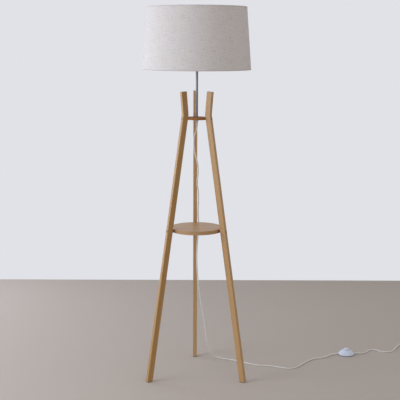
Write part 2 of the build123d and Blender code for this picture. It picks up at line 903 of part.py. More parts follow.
def dome_profile():
    """Half section of the cover: an upright edge, then one round sweep to the flat top."""
    edge = (switch_radius, switch_cover_edge_height)
    crown = (cover_opening + switch_cover_flat, switch_cover_top)
    waist = (
        (edge[0] + crown[0]) / 2 + switch_cover_bulge,
        (edge[1] + crown[1]) / 2 + switch_cover_bulge,
    )
    Polyline((0, switch_cover_gap), (edge[0], switch_cover_gap), edge)
    ThreePointArc(edge, waist, crown)
    Polyline(crown, (0, crown[1]), (0, switch_cover_gap))


with BuildPart() as switch_cover:
    with BuildSketch(switch_section):
        with BuildLine():
            dome_profile()
        make_face()
    revolve(axis=switch_axis)
    underside = switch_cover.faces().sort_by(Axis.Z)[0]
    offset(amount=-switch_cover_wall, openings=underside)
    with BuildSketch(switch_floor):
        Circle(cover_opening)
    extrude(amount=switch_height, mode=Mode.SUBTRACT)
    with BuildSketch(switch_floor.offset(switch_inner_height)):
        with Locations(*screw_locations()):
            Circle(switch_post_radius)
    extrude(until=Until.NEXT)
    with BuildSketch(switch_floor.offset(switch_inner_height)):
        with Locations(*screw_locations()):
            Circle(switch_screw_radius + thread_clearance)
    extrude(amount=switch_screw_bite + blind_hole_margin, mode=Mode.SUBTRACT)
    with BuildSketch(switch_cord_plane):
        Circle(cord_notch_radius)
    extrude(amount=2 * switch_radius, mode=Mode.SUBTRACT)
save(switch_cover, "switch_cover")

screw_head_bottom = switch_pad_thickness

with BuildPart() as switch_screws:
    with BuildSketch(switch_floor.offset(screw_head_bottom)):
        with Locations(*screw_locations()):
            Circle(switch_screw_head_radius)
    extrude(amount=switch_screw_head_height)
    with BuildSketch(switch_floor.offset(screw_head_bottom)):
        with Locations(*screw_locations()):
            Circle(switch_screw_radius)
    extrude(amount=switch_inner_height - screw_head_bottom + switch_screw_bite)
save(switch_screws, "switch_screws")

# The button: a cup with a flange that stays under the cover's edge
flange_top = switch_cover_top - switch_cover_wall - button_clearance
flange_bottom = flange_top - button_flange_thickness
button_ceiling = switch_height - button_wall

with BuildPart() as switch_button:
    with BuildSketch(switch_floor.offset(flange_bottom)):
        Circle(button_flange_radius)
    extrude(amount=button_flange_thickness)
    with BuildSketch(switch_floor.offset(flange_top)):
        Circle(button_radius)
    extrude(amount=switch_height - flange_top)
    crown_edge = switch_button.edges().filter_by(GeomType.CIRCLE).sort_by(Axis.Z)[-1]
    fillet(crown_edge, button_edge_radius)
    with BuildSketch(switch_floor.offset(flange_bottom)):
        Circle(button_radius - button_wall)
    extrude(amount=button_ceiling - flange_bottom, mode=Mode.SUBTRACT)
save(switch_button, "switch_button")

# A brass ring under the flange joins the two strips at the end of the button's travel
bridge_bottom = flange_bottom - bridge_thickness

with BuildPart() as switch_bridge:
    with BuildSketch(switch_floor.offset(bridge_bottom)):
        Circle(button_flange_radius - bridge_inset)
        Circle(button_radius - button_wall, mode=Mode.SUBTRACT)
    extrude(amount=bridge_thickness)
save(switch_bridge, "switch_bridge")

block_top = bridge_bottom - button_travel - contact_gap - strip_thickness
recess_bottom = block_top - block_recess_depth

with BuildPart() as switch_block:
    with BuildSketch(switch_floor.offset(switch_inner_height)):
        Circle(block_radius)
    extrude(amount=block_top - switch_inner_height)
    with BuildSketch(switch_floor.offset(recess_bottom)):
        Circle(block_recess_radius)
    extrude(amount=block_recess_depth, mode=Mode.SUBTRACT)
save(switch_block, "switch_block")

# The return spring stands in the block's recess and reaches the button's ceiling
spring_bottom = recess_bottom + spring_wire_radius + part_gap
spring_height = button_ceiling - spring_wire_radius - part_gap - spring_bottom

with BuildPart() as switch_spring:
    with BuildLine() as spring_path:
        Helix(
            pitch=spring_height / spring_turns,
            height=spring_height,
            radius=spring_radius,
            center=(switch_x, switch_y, spring_bottom),
        )
    with BuildSketch(Plane(origin=spring_path.line @ 0, z_dir=spring_path.line % 0)):
        Circle(spring_wire_radius)
    sweep(path=spring_path.line)
save(switch_spring, "switch_spring")

# Either side of the block: a terminal on the flex's end, and a strip from it to the block
terminal_from = block_radius + terminal_gap
terminal_middle = terminal_from + terminal_block_length / 2

with BuildPart() as switch_terminals:
    with BuildSketch(switch_floor.offset(switch_inner_height)):
        with Locations((-terminal_middle, 0), (terminal_middle, 0)):
            Rectangle(terminal_block_length, terminal_block_width)
    extrude(amount=terminal_block_height)
    with BuildSketch(switch_cord_plane):
        Circle(cord_radius + terminal_bore_clearance)
    extrude(amount=2 * switch_radius, mode=Mode.SUBTRACT)
save(switch_terminals, "switch_terminals")

strip_height = switch_inner_height + terminal_block_height

with BuildPart() as switch_contacts:
    for side in (-1, 1):
        strip_from = block_recess_radius + strip_inset
        strip_to = terminal_middle
        with BuildSketch(switch_floor.offset(block_top)):
            with Locations((side * (strip_from + strip_to) / 2, 0)):
                Rectangle(strip_to - strip_from, strip_width)
        extrude(amount=strip_thickness)
        with BuildSketch(switch_floor.offset(strip_height)):
            with Locations((side * (strip_to - strip_thickness), 0)):
                Rectangle(2 * strip_thickness, strip_width)
        extrude(amount=block_top - strip_height)
save(switch_contacts, "switch_contacts")

clamp_middle = terminal_middle + (terminal_block_length + clamp_length) / 2 + clamp_gap
clamp_bottom = switch_cord_height + cord_radius + part_gap

with BuildPart() as switch_clamps:
    with BuildSketch(switch_floor.offset(clamp_bottom)):
        with Locations((-clamp_middle, 0), (clamp_middle, 0)):
            Rectangle(clamp_length, clamp_width)
    extrude(amount=clamp_height)
    with BuildSketch(switch_floor.offset(switch_inner_height)):
        for side in (-1, 1):
            with Locations((side * clamp_middle, -clamp_screw_offset),
                           (side * clamp_middle, clamp_screw_offset)):
                Circle(switch_screw_radius)
    extrude(amount=clamp_bottom - switch_inner_height)
save(switch_clamps, "switch_clamps")

flex_in_switch = switch_radius - terminal_from

with BuildPart() as switch_flex:
    with BuildSketch(switch_cord_plane):
        Circle(cord_radius)
    extrude(amount=flex_in_switch)
    with BuildSketch(switch_cord_plane.offset(2 * switch_radius - flex_in_switch)):
        Circle(cord_radius)
    extrude(amount=flex_in_switch)
save(switch_flex, "switch_flex")

# ---------------------------------------------------------------- free flex


arc_share = 0.45


def corner_radii(points):
    """Radius of the arc at each corner of a route: as large as its two runs allow."""
    radii = []
    for before, corner, after in zip(points, points[1:], points[2:]):
        run_in = corner - before
        run_out = after - corner
        half_turn = math.radians(run_in.get_angle(run_out)) / 2
        shorter_run = min(run_in.length, run_out.length)
        radii.append(arc_share * shorter_run / math.tan(half_turn))
    return radii


def make_cord(name, route):
    """A stretch of flex: one tube along straight runs joined by tangent arcs."""
    points = [Vector(*point) for point in route]
    radii = corner_radii(points)
    with BuildPart() as cord:
        with BuildLine() as path:
            FilletPolyline(*points, radius=radii)
        line = path.wire()
        with BuildSketch(Plane(origin=line @ 0, z_dir=line % 0)):
            Circle(cord_radius)
        sweep(path=line)
    expected = math.pi * cord_radius**2 * line.length
    print(f"{name}: length {line.length:.0f}, least radius {min(radii):.1f}, "
          f"volume over section times length {cord.part.volume / expected:.4f}")
    print("  radii", [round(radius) for radius in radii])
    save(cord, name)


# From the gland, behind the shelf beside the rear leg, to the floor and the switch
drop_route = [
    (0, 0, gland_bottom),
    (0, 0, gland_bottom - 18),
    (-10, 4, gland_bottom - 37),
    (-12.5, 10, gland_bottom - 66),
    (-11.5, 18, gland_bottom - 98),
    (-4.5, 28, gland_bottom - 130),
    (4.5, 39, gland_bottom - 164),
    (6.5, 51, gland_bottom - 204),
    (0.8, 66, gland_bottom - 248),
    (8, 82, gland_bottom - 296),
    (7, 95, gland_bottom - 344),
    (5.6, 105.5, gland_bottom - 390),
    (9, 119.5, gland_bottom - 436),
    (6.2, 119.5, gland_bottom - 486),
    (2, 118.5, gland_bottom - 540),
    (0.5, 118.5, gland_bottom - 598),
    (3, 119, gland_bottom - 656),
    (8.5, 121, gland_bottom - 712),
    (17.5, 124.5, gland_bottom - 768),
    (23.5, 129, gland_bottom - 824),
    (35, 136, gland_bottom - 880),
    (42, 146, gland_bottom - 932),
    (48, 157, gland_bottom - 982),
    (58, 169, 50),
    (78, 181, 18),
    (110, 187, cord_floor_height),
    (152, 174, cord_floor_height),
    (197, 148, cord_floor_height),
    (243, 112, cord_floor_height),
    (285, 90, cord_floor_height),
    (331, 90, cord_floor_height),
    (372, 66, cord_floor_height),
    (414, 46, cord_floor_height),
    (452, 72, cord_floor_height),
    (486, 130, cord_floor_height),
    (530, 184, cord_floor_height),
    (570, 199, cord_floor_height),
    (600, 215, cord_floor_height + 0.5),
    tuple(switch_inlet - switch_heading * 30),
    tuple(switch_inlet),
]
make_cord("cord_drop", drop_route)

coil_start_radius = coil_mean_radius + coil_turns_in * coil_turn_pitch / 2
coil_left = coil_x - coil_start_radius
coil_right = coil_x + coil_start_radius
coil_lead = 2 * cord_radius

# From the switch to the coil, with the hump that the flex makes beside the switch
tail_route = [
    tuple(switch_outlet),
    tuple(switch_outlet + switch_heading * 22),
    (774, 267, cord_floor_height + 0.5),
    (794, 288, cord_floor_height),
    (812, 320, cord_floor_height),
    (844, 321, cord_floor_height),
    (862, 293, cord_floor_height),
    (892, 284, cord_floor_height),
    (922, 304, cord_floor_height),
    (943, 353, cord_floor_height),
    (973, 408, cord_floor_height),
    (coil_left, coil_y - coil_approach, cord_floor_height),
    (coil_left, coil_y - coil_lead, cord_floor_height),
]
make_cord("cord_tail", tail_route)

# ---------------------------------------------------------------- put-away coil

half_turn_step = coil_turn_pitch / 2
turns_inwards = [coil_start_radius - half_turn_step * k for k in range(2 * coil_turns_in)]
climb_radius = coil_start_radius - half_turn_step * 2 * coil_turns_in

with BuildPart() as cord_coil:
    with BuildLine() as coil_path:
        start = Vector(coil_left, coil_y - coil_lead, cord_floor_height)
        here = Vector(coil_left, coil_y, cord_floor_height)
        heading = Vector(0, 1, 0)
        Line(start, here)
        side = 1
        for radius in turns_inwards:
            there = here + Vector(side * 2 * radius, 0, 0)
            TangentArc(here, there, tangent=heading)
            here, heading, side = there, heading * -1, -side
        # The climb: two quarter turns that share the rise to the upper layer
        there = here + Vector(side * 2 * climb_radius, 0, coil_layer_pitch)
        middle = (here + there) / 2 + heading * ((there - here).length / 2)
        TangentArc(here, middle, tangent=heading)
        TangentArc(middle, there, tangent=(there - here).normalized())
        here, heading, side = there, heading * -1, -side
        for radius in reversed(turns_inwards):
            there = here + Vector(side * 2 * radius, 0, 0)
            TangentArc(here, there, tangent=heading)
            here, heading, side = there, heading * -1, -side
        coil_end = here + heading * coil_lead
        Line(here, coil_end)
    coil_line = coil_path.wire()
    with BuildSketch(Plane(origin=coil_line @ 0, z_dir=coil_line % 0)):
        Circle(cord_radius)
    sweep(path=coil_line)


def least_self_gap(line, radius):
    """Least gap between the turns of a tube, measured on points along its line."""
    count = 600
    passed_over = 8 * radius
    points = [line @ (k / count) for k in range(count + 1)]
    skipped = math.ceil(count * passed_over / line.length)
    least = math.inf
    for k, point in enumerate(points):
        for other in points[k + skipped:]:
            least = min(least, (other - point).length - 2 * radius)
    return least


coil_expected = math.pi * cord_radius**2 * coil_line.length
print(f"cord_coil: length {coil_line.length:.0f}, "
      f"least gap {least_self_gap(coil_line, cord_radius):.2f}, "
      f"volume over section times length {cord_coil.part.volume / coil_expected:.4f}")
save(cord_coil, "cord_coil")

# ---------------------------------------------------------------- plug

plug_thickness = 2 * coil_top_height
relief_end = coil_y - coil_lead - plug_relief_length
plug_front = relief_end - plug_length

with BuildPart() as plug_relief:
    with BuildSketch(Plane(origin=(coil_right, coil_y, coil_top_height), x_dir=(1, 0, 0),
                           z_dir=(0, 0, 1))):
        with BuildLine():
            Polyline(
                (0, -coil_lead),
                (cord_radius + cord_bore_clearance, -coil_lead),
                (plug_relief_radius, -coil_lead - plug_relief_length),
                (0, -coil_lead - plug_relief_length),
                close=True,
            )
        make_face()
    revolve(axis=Axis((coil_right, coil_y, coil_top_height), (0, 1, 0)))
save(plug_relief, "plug_relief")

pin_plane = Plane(
    origin=(coil_right, plug_front, coil_top_height), x_dir=(1, 0, 0), z_dir=(0, -1, 0)
)
pin_spots = [(-pin_spacing / 2, 0), (pin_spacing / 2, 0)]

with BuildPart() as plug_body:
    with BuildSketch(Plane.XY):
        with Locations((coil_right, relief_end - plug_length / 2)):
            RectangleRounded(plug_width, plug_length, plug_edge_radius)
    extrude(amount=plug_thickness)
    fillet(plug_body.edges().group_by(Axis.Z)[-1], plug_top_radius)
    fillet(plug_body.edges().group_by(Axis.Z)[0], plug_bottom_radius)
    with BuildSketch(pin_plane):
        with Locations(*pin_spots):
            Circle(pin_root_radius + thread_clearance)
    extrude(amount=-pin_root_depth, mode=Mode.SUBTRACT)
save(plug_body, "plug_body")

with BuildPart() as plug_pins:
    with BuildSketch(pin_plane):
        with Locations(*pin_spots):
            Circle(pin_radius)
    extrude(amount=pin_length)
    fillet(plug_pins.edges().group_by(Axis.Y)[0], pin_tip_radius)
    with BuildSketch(pin_plane):
        with Locations(*pin_spots):
            Circle(pin_root_radius)
    extrude(amount=-pin_root_depth)
save(plug_pins, "plug_pins")
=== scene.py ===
"""Looks of a floor lamp with a small round shelf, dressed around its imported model.

Metres. +Z is up, the floor is z = 0 and the lamp's stem is the Z axis. The rear leg points along
+Y, and the flex runs over the floor towards +X.
"""

import math

import bmesh
import bpy
from mathutils import Euler, Matrix, Vector


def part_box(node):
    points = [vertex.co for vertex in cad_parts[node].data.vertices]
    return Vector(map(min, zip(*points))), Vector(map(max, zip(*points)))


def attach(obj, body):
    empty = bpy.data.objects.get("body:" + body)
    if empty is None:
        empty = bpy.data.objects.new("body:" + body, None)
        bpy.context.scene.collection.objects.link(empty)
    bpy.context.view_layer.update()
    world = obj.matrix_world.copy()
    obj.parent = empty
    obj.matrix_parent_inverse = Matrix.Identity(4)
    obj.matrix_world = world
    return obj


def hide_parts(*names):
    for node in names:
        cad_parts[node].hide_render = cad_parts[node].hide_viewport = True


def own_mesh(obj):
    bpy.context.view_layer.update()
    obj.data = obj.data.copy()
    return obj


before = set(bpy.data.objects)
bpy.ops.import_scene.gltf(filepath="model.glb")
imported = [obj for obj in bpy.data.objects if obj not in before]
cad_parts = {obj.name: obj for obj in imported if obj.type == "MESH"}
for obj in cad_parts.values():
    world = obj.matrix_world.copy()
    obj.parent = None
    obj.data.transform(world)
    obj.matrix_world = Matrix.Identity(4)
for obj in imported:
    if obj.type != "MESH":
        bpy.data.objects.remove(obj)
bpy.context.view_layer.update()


# ---------------------------------------------------------------- view
# The lamp is seen from about 4 m in front of its stem, from a little under the shade's height.
# The lens is level to a fifth of a degree and dips so that the feet are in the picture.

camera_place = (0.0145, -4.0582, 1.4297)
camera_dip = 0.16221
camera_roll = 0.00341
lens_length = 87.17
sensor_width = 36.0

camera = bpy.data.objects.new("camera", bpy.data.cameras.new("camera"))
camera.data.lens = lens_length
camera.data.sensor_width = sensor_width
camera.matrix_world = (
    Matrix.Translation(camera_place)
    @ Matrix.Rotation(math.pi / 2 - camera_dip, 4, "X")
    @ Matrix.Rotation(camera_roll, 4, "Z")
)
bpy.context.scene.collection.objects.link(camera)
bpy.context.scene.camera = camera


# ---------------------------------------------------------------- flex
# A round two-core flex in clear sheathing hangs from the gland under the stem, slips past the
# rear leg and wanders over the floor to the foot switch. A second length runs on to the plug,
# with what is left over wound into a coil of two layers.

flex_radius = 0.00275
flex_on_floor = 0.0028
flex_end_above_floor = 0.0033
flex_steps_per_knot = 8
flex_facet_steps = 6
gland_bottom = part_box("cord_gland")[0][2]

switch_middle = Vector((0.694, 0.256, 0.0065))
switch_turn = math.radians(4.0)
switch_heading = Vector((math.cos(switch_turn), math.sin(switch_turn), 0.0))
switch_reach = 0.036
switch_lead_in = 0.030
switch_lead_out = 0.022
switch_inlet = switch_middle - switch_heading * switch_reach
switch_outlet = switch_middle + switch_heading * switch_reach

drop_points = [
    (0.0, 0.0, gland_bottom),
    (0.0, 0.0, gland_bottom - 0.018),
    (-0.010, 0.004, gland_bottom - 0.037),
    (-0.0125, 0.010, gland_bottom - 0.066),
    (-0.0115, 0.018, gland_bottom - 0.098),
    (-0.0045, 0.028, gland_bottom - 0.130),
    (0.0045, 0.039, gland_bottom - 0.164),
    (0.0065, 0.051, gland_bottom - 0.204),
    (0.0008, 0.066, gland_bottom - 0.248),
    (0.008, 0.082, gland_bottom - 0.296),
    (0.007, 0.095, gland_bottom - 0.344),
    (0.0056, 0.1055, gland_bottom - 0.390),
    (0.009, 0.1195, gland_bottom - 0.436),
    (0.0062, 0.1195, gland_bottom - 0.486),
    (0.002, 0.1185, gland_bottom - 0.540),
    (0.0005, 0.1185, gland_bottom - 0.598),
    (0.003, 0.119, gland_bottom - 0.656),
    (0.0085, 0.121, gland_bottom - 0.712),
    (0.0175, 0.1245, gland_bottom - 0.768),
    (0.0235, 0.129, gland_bottom - 0.824),
    (0.035, 0.136, gland_bottom - 0.880),
    (0.042, 0.146, gland_bottom - 0.932),
    (0.048, 0.157, gland_bottom - 0.982),
    (0.058, 0.169, 0.050),
    (0.078, 0.181, 0.018),
    (0.110, 0.187, flex_on_floor),
    (0.152, 0.174, flex_on_floor),
    (0.197, 0.148, flex_on_floor),
    (0.243, 0.112, flex_on_floor),
    (0.285, 0.090, flex_on_floor),
    (0.331, 0.090, flex_on_floor),
    (0.372, 0.066, flex_on_floor),
    (0.414, 0.046, flex_on_floor),
    (0.452, 0.072, flex_on_floor),
    (0.486, 0.130, flex_on_floor),
    (0.530, 0.184, flex_on_floor),
    (0.570, 0.199, flex_on_floor),
    (0.600, 0.215, flex_end_above_floor),
    tuple(switch_inlet - switch_heading * switch_lead_in),
    tuple(switch_inlet),
]

tail_points = [
    tuple(switch_outlet),
    tuple(switch_outlet + switch_heading * switch_lead_out),
    (0.774, 0.267, flex_end_above_floor),
    (0.794, 0.288, flex_on_floor),
    (0.812, 0.320, flex_on_floor),
    (0.844, 0.321, flex_on_floor),
    (0.862, 0.293, flex_on_floor),
    (0.892, 0.284, flex_on_floor),
    (0.922, 0.304, flex_on_floor),
    (0.943, 0.353, flex_on_floor),
    (0.973, 0.408, flex_on_floor),
    (1.016, 0.450, flex_on_floor),
    (1.016, 0.4845, flex_on_floor),
]

# The coil: the turns narrow by one flex width a turn, climb, and widen again on top
coil_centre_x = 1.052
coil_centre_y = 0.490
coil_half_turn_radii = (0.036, 0.033, 0.030, 0.027, 0.024, 0.027, 0.030, 0.033, 0.036)
coil_climb = 4
coil_rise = 0.006
coil_knots = 8
coil_lead = 0.0055


def coil_points():
    """Knots of the coil's line, half a turn at a time, from its left side round and back."""
    # A smooth line runs inside its knots, so they stand a little further out than the turns
    spread = 2 / (1 + math.cos(math.pi / (2 * coil_knots)))
    centre, height, side, points = coil_centre_x, flex_on_floor, -1, []
    for number, radius in enumerate(coil_half_turn_radii):
        if number:
            centre += side * (coil_half_turn_radii[number - 1] - radius)
        for step in range(coil_knots):
            turned = math.pi * (step + 0.5) / coil_knots
            climb = coil_rise * (step + 0.5) / coil_knots if number == coil_climb else 0.0
            points.append((
                centre + side * spread * radius * math.cos(turned),
                coil_centre_y - side * spread * radius * math.sin(turned),
                height + climb,
            ))
        if number == coil_climb:
            height += coil_rise
        side = -side
    plug_side = coil_centre_x + coil_half_turn_radii[0]
    points.append((plug_side, coil_centre_y, height))
    points.append((plug_side, coil_centre_y - coil_lead, height))
    return points


def lay_flex(name, points):
    """A length of flex whose smooth line has these knots."""
    line = bpy.data.curves.new(name, "CURVE")
    line.dimensions = "3D"
    spline = line.splines.new("NURBS")
    spline.points.add(len(points) - 1)
    for knot, place in zip(spline.points, points):
        knot.co = (*place, 1.0)
        # The flex's thickness is the knots' radius times the bevel's depth of one metre
        knot.radius = flex_radius
    spline.order_u = 3
    spline.use_endpoint_u = True
    spline.resolution_u = flex_steps_per_knot
    line.bevel_depth = 1.0
    line.bevel_resolution = flex_facet_steps
    line.use_fill_caps = True
    flex = bpy.data.objects.new(name, line)
    bpy.context.scene.collection.objects.link(flex)
    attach(flex, "stand")
    return flex


flex_to_switch = lay_flex("flex_to_switch", drop_points)
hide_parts("cord_drop")

flex_to_plug = lay_flex("flex_to_plug", tail_points + coil_points())
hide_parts("cord_tail", "cord_coil")


# ---------------------------------------------------------------- legs
# Three legs of straight-grained oak, each kinked at the hub so that its short upper limb flares
# out. They are planed flat, with eased edges, and wiped with a clear matt oil.

leg_splay = math.radians(8.76)
leg_azimuths = {
    "leg_front_left": math.radians(210),
    "leg_front_right": math.radians(330),
    "leg_rear": math.radians(90),
}
oak_pore = (104, 70, 42)
oak_ring_width = 0.0027
oak_ring_wander = 0.009
oak_relief = 0.00012
# Patches to the metre, twice across the grain and once along it
oak_drifts = (9.0, 9.0, 1.3)
oak_fibres = (1500.0, 1500.0, 22.0)
oak_streaks = (260.0, 260.0, 2.6)
oak_pores = (2700.0, 2700.0, 85.0)
oak_flecks = (420.0, 90.0, 60.0)


def paint(red, green, blue):
    """A colour given in the usual 0 to 255 steps, as the light that it reflects."""
    shares = [step / 255 for step in (red, green, blue)]
    return (*(s / 12.92 if s <= 0.04045 else ((s + 0.055) / 1.055) ** 2.4 for s in shares), 1.0)


class Signal:
    """A value or colour that changes over a surface. Arithmetic on it adds Math nodes."""

    def __init__(self, finish, socket):
        self.finish = finish
        self.socket = socket

    def maths(self, operation, first, second=0.0, clamped=False):
        settings = {"operation": operation, "use_clamp": clamped}
        return self.finish.add("ShaderNodeMath", settings, {0: first, 1: second})

    def __add__(self, other):
        return self.maths("ADD", self, other)

    def __radd__(self, other):
        return self.maths("ADD", other, self)

    def __sub__(self, other):
        return self.maths("SUBTRACT", self, other)

    def __rsub__(self, other):
        return self.maths("SUBTRACT", other, self)

    def __mul__(self, other):
        return self.maths("MULTIPLY", self, other)

    def __rmul__(self, other):
        return self.maths("MULTIPLY", other, self)

    def __truediv__(self, other):
        return self.maths("DIVIDE", self, other)

    def __pow__(self, other):
        return self.maths("POWER", self, other)

    def part(self):
        """What is left past the last whole number."""
        return self.maths("FRACT", self)

    def wave(self):
        """The sine, moved to run from 0 to 1."""
        return self.maths("SINE", self) * 0.5 + 0.5

    def between(self, low, high):
        """0 below low, 1 above high and a straight climb from one to the other."""
        return self.maths("MULTIPLY", self - low, 1 / (high - low), clamped=True)


class Finish:
    """A material: one surface shader, and the nodes that drive it."""

    def __init__(self, name, **sockets):
        self.material = bpy.data.materials.new(name)
        self.material.use_nodes = True
        self.tree = self.material.node_tree
        self.tree.nodes.clear()
        self.output = self.tree.nodes.new("ShaderNodeOutputMaterial")
        self.shader = self.tree.nodes.new("ShaderNodeBsdfPrincipled")
        self.tree.links.new(self.shader.outputs[0], self.output.inputs["Surface"])
        for socket, value in sockets.items():
            self.set(socket.replace("_", " ").title(), value)

    def feed(self, socket, value):
        if isinstance(value, Signal):
            self.tree.links.new(value.socket, socket)
        else:
            socket.default_value = value

    def set(self, socket, value):
        """Gives the surface shader a value, or links one to it."""
        names = {"Specular": "Specular IOR Level"}
        self.feed(self.shader.inputs[names.get(socket, socket)], value)

    def add(self, kind, settings, inputs, output=0):
        """Adds a node. Its settings come first, then the values or links of its inputs."""
        node = self.tree.nodes.new(kind)
        for setting, value in settings.items():
            setattr(node, setting, value)
        for place, value in inputs.items():
            self.feed(node.inputs[place], value)
        return Signal(self, node.outputs[output])

    def place(self, start=(0, 0, 0), turn=(0, 0, 0)):
        """Place on the lamp, measured from start along axes turned by turn."""
        here = self.add("ShaderNodeTexCoord", {}, {}, "Object")
        inputs = {"Vector": here, "Location": start, "Rotation": turn}
        return self.add("ShaderNodeMapping", {"vector_type": "TEXTURE"}, inputs)

    def spread(self, place):
        """The three coordinates of a place."""
        node = self.add("ShaderNodeSeparateXYZ", {}, {"Vector": place}).socket.node
        return [Signal(self, socket) for socket in node.outputs]

    def noise(self, place, scales, detail=2.0, roughness=0.5):
        """Soft random patches, so many to the metre along each axis."""
        inputs = {0: place, 1: scales}
        place = self.add("ShaderNodeVectorMath", {"operation": "MULTIPLY"}, inputs)
        inputs = {"Vector": place, "Scale": 1.0, "Detail": detail, "Roughness": roughness}
        return self.add("ShaderNodeTexNoise", {}, inputs)

    def mix(self, share, first, second):
        """A colour, first where share is 0 and second where it is 1."""
        settings = {"data_type": "RGBA", "clamp_factor": True}
        return self.add("ShaderNodeMix", settings, {0: share, 6: first, 7: second}, 2)

    def emboss(self, height, depth):
        """Raises the surface by depth metres where height is 1."""
        inputs = {"Height": height, "Strength": 1.0, "Distance": depth}
        self.set("Normal", self.add("ShaderNodeBump", {}, inputs))


def dress(finish, *names):
    """Gives CAD pieces their finish."""
    for name in names:
        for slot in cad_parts[name].material_slots:
            slot.material = finish.material


def oak(name, heart, turn, pale, tan_wood, coat=0.14, specular=0.35):
    """Oiled oak. The heart of the tree lies at heart, and turn lays the grain along Z."""
    finish = Finish(name, roughness=0.5, specular=specular, coat_weight=coat, coat_roughness=0.35)
    place = finish.place(heart, turn)
    across, deep, _ = finish.spread(place)
    drift = finish.noise(place, oak_drifts) - 0.5
    ring = ((across * across + deep * deep) ** 0.5 + drift * oak_ring_wander) / oak_ring_width
    late_wood = ring.part() ** 2.2
    fibre = finish.noise(place, oak_fibres, 3.0, 0.65)
    streak = finish.noise(place, oak_streaks, 2.0)
    pore = finish.noise(place, oak_pores).between(0.60, 0.72) * (1.25 - late_wood)
    fleck = finish.noise(place, oak_flecks, 1.0).between(0.66, 0.80)
    tan = 0.14 + late_wood * 0.34 + (fibre - 0.5) * 0.55 + (streak - 0.5) * 0.9 - fleck * 0.18
    ground = finish.mix(tan, paint(*pale), paint(*tan_wood))
    finish.set("Base Color", finish.mix(pore * 0.55, ground, paint(*oak_pore)))
    finish.set("Roughness", 0.44 + fibre * 0.14)
    finish.emboss(fibre * 0.3 - pore - late_wood * 0.2, oak_relief)
    return finish


# Each leg was cut from another board: the heart of its tree, and its pale and its tan wood. The front
# left leg's wood is painted darker than the others, as painted shade for its broad face, which turns
# away from the window.
leg_boards_and_painted_shade = {
    "leg_front_left": ((0.16, 0.05, 0.3), (185, 146, 91), (133, 89, 39)),
    "leg_front_right": ((-0.13, 0.11, 1.1), (198, 162, 114), (147, 103, 57)),
    "leg_rear": ((0.05, -0.19, 2.3), (200, 166, 118), (150, 107, 60)),
}
for leg, (heart, pale, tan_wood) in leg_boards_and_painted_shade.items():
    along_the_leg = (0.0, -leg_splay, leg_azimuths[leg])
    dress(oak(leg + "_oak", heart, along_the_leg, pale, tan_wood, 0.3), leg)


# ---------------------------------------------------------------- hub plate and shelf
# Two discs turned from oak boards. The small one holds the legs and the stem, and the larger one
# is the shelf. Both have their grain across the lamp and show end grain at their sides. The small
# one's wood is redder and darker, and part of that darkness is painted shade from the lampshade above
# it.

across_the_lamp = (0.0, math.pi / 2, 0.0)
shelf_pale = (193, 157, 115)
shelf_tan = (142, 102, 64)
# The hub plate's colours are darker partly as painted shade from the lampshade above
plate_pale_with_painted_shade = (168, 118, 70)
plate_tan_with_painted_shade = (126, 80, 42)
shelf_oak = oak("shelf_oak", (0.0, 0.03, 0.51), across_the_lamp, shelf_pale, shelf_tan, 0.4)
dress(shelf_oak, "shelf")
plate_oak = oak("hub_oak_painted_shade", (0.0, -0.04, 1.02), across_the_lamp, plate_pale_with_painted_shade, plate_tan_with_painted_shade, 0.0, 0.03)
dress(plate_oak, "hub_plate")


# ---------------------------------------------------------------- feet
# A pad of pressed grey-brown wool felt is glued under each foot, a millimetre in from its edges,
# so that the lamp can slide without marking the floor.

felt_dark = (78, 70, 62)
felt_light = (128, 118, 106)
felt_hairs = (900.0, 900.0, 900.0)
felt_relief = 0.0004

felt = Finish("felt", roughness=1.0, sheen_weight=0.3, sheen_roughness=0.5)
felt_hair = felt.noise(felt.place(), felt_hairs, 4.0, 0.75)
felt.set("Base Color", felt.mix(felt_hair, paint(*felt_dark), paint(*felt_light)))
felt.emboss(felt_hair, felt_relief)
dress(felt, "pad_front_left", "pad_front_right", "pad_rear")


# ---------------------------------------------------------------- bolts and spacers
# Cap bolts of bronzed steel go in through each leg, and short painted steel tubes hold the shelf
# off the legs. The bolts screw into threaded brass inserts, which the discs hide.

metal_marks = (700.0, 700.0, 3200.0)
metal_rub = (60.0, 60.0, 60.0)
metal_relief = 0.00002
metal_unevenness = 0.12


def turned_metal(name, colour, roughness, metallic=1.0):
    """Machined metal, with the faint marks that the tool or the mould left."""
    finish = Finish(name, base_color=paint(*colour), metallic=metallic)
    place = finish.place()
    marks = finish.noise(place, metal_marks, 3.0, 0.6)
    rub = finish.noise(place, metal_rub, 2.0)
    uneven = (marks - 0.5) * metal_unevenness + (rub - 0.5) * metal_unevenness
    finish.set("Roughness", roughness + uneven)
    finish.emboss(marks, metal_relief)
    return finish


dress(turned_metal("bronzed_steel", (142, 124, 104), 0.45), "plate_bolts", "shelf_bolts")
dress(turned_metal("spacer_steel", (112, 84, 60), 0.55, 0.0), "shelf_spacers")
dress(
    turned_metal("brass", (196, 160, 92), 0.3),
    "plate_inserts", "shelf_inserts", "holder_contacts", "holder_wires",
    "switch_contacts", "switch_terminals", "switch_bridge",
)


# ---------------------------------------------------------------- stem
# A thin drawn-steel tube stands in the hub plate, clamped by a nut above it and a nut and washer
# below. The flex runs up inside it.

stem_grey = (142, 143, 146)
stem_lines = (1800.0, 1800.0, 5.0)

stem_steel = Finish("stem_steel", base_color=paint(*stem_grey), metallic=1.0)
drawn_lines = stem_steel.noise(stem_steel.place(), stem_lines, 2.0, 0.6)
stem_steel.set("Roughness", 0.46 + drawn_lines * 0.14)
stem_steel.emboss(drawn_lines, metal_relief)
dress(stem_steel, "stem")
dress(
    turned_metal("plated_steel", (158, 156, 150), 0.3),
    "lock_nut", "stem_nut", "stem_washer", "holder_screws", "switch_screws", "switch_spring",
    "plug_pins", "bulb_cap", "holder_shell",
)


# ---------------------------------------------------------------- flex sheathing
# The flex is two stranded cores in a round sheath of clear soft plastic. Over the pale cores it
# looks milky white, and it keeps a soft shine.

mould_grain = (2200.0, 2200.0, 2200.0)
mould_rub = (45.0, 45.0, 45.0)
mould_relief = 0.00003


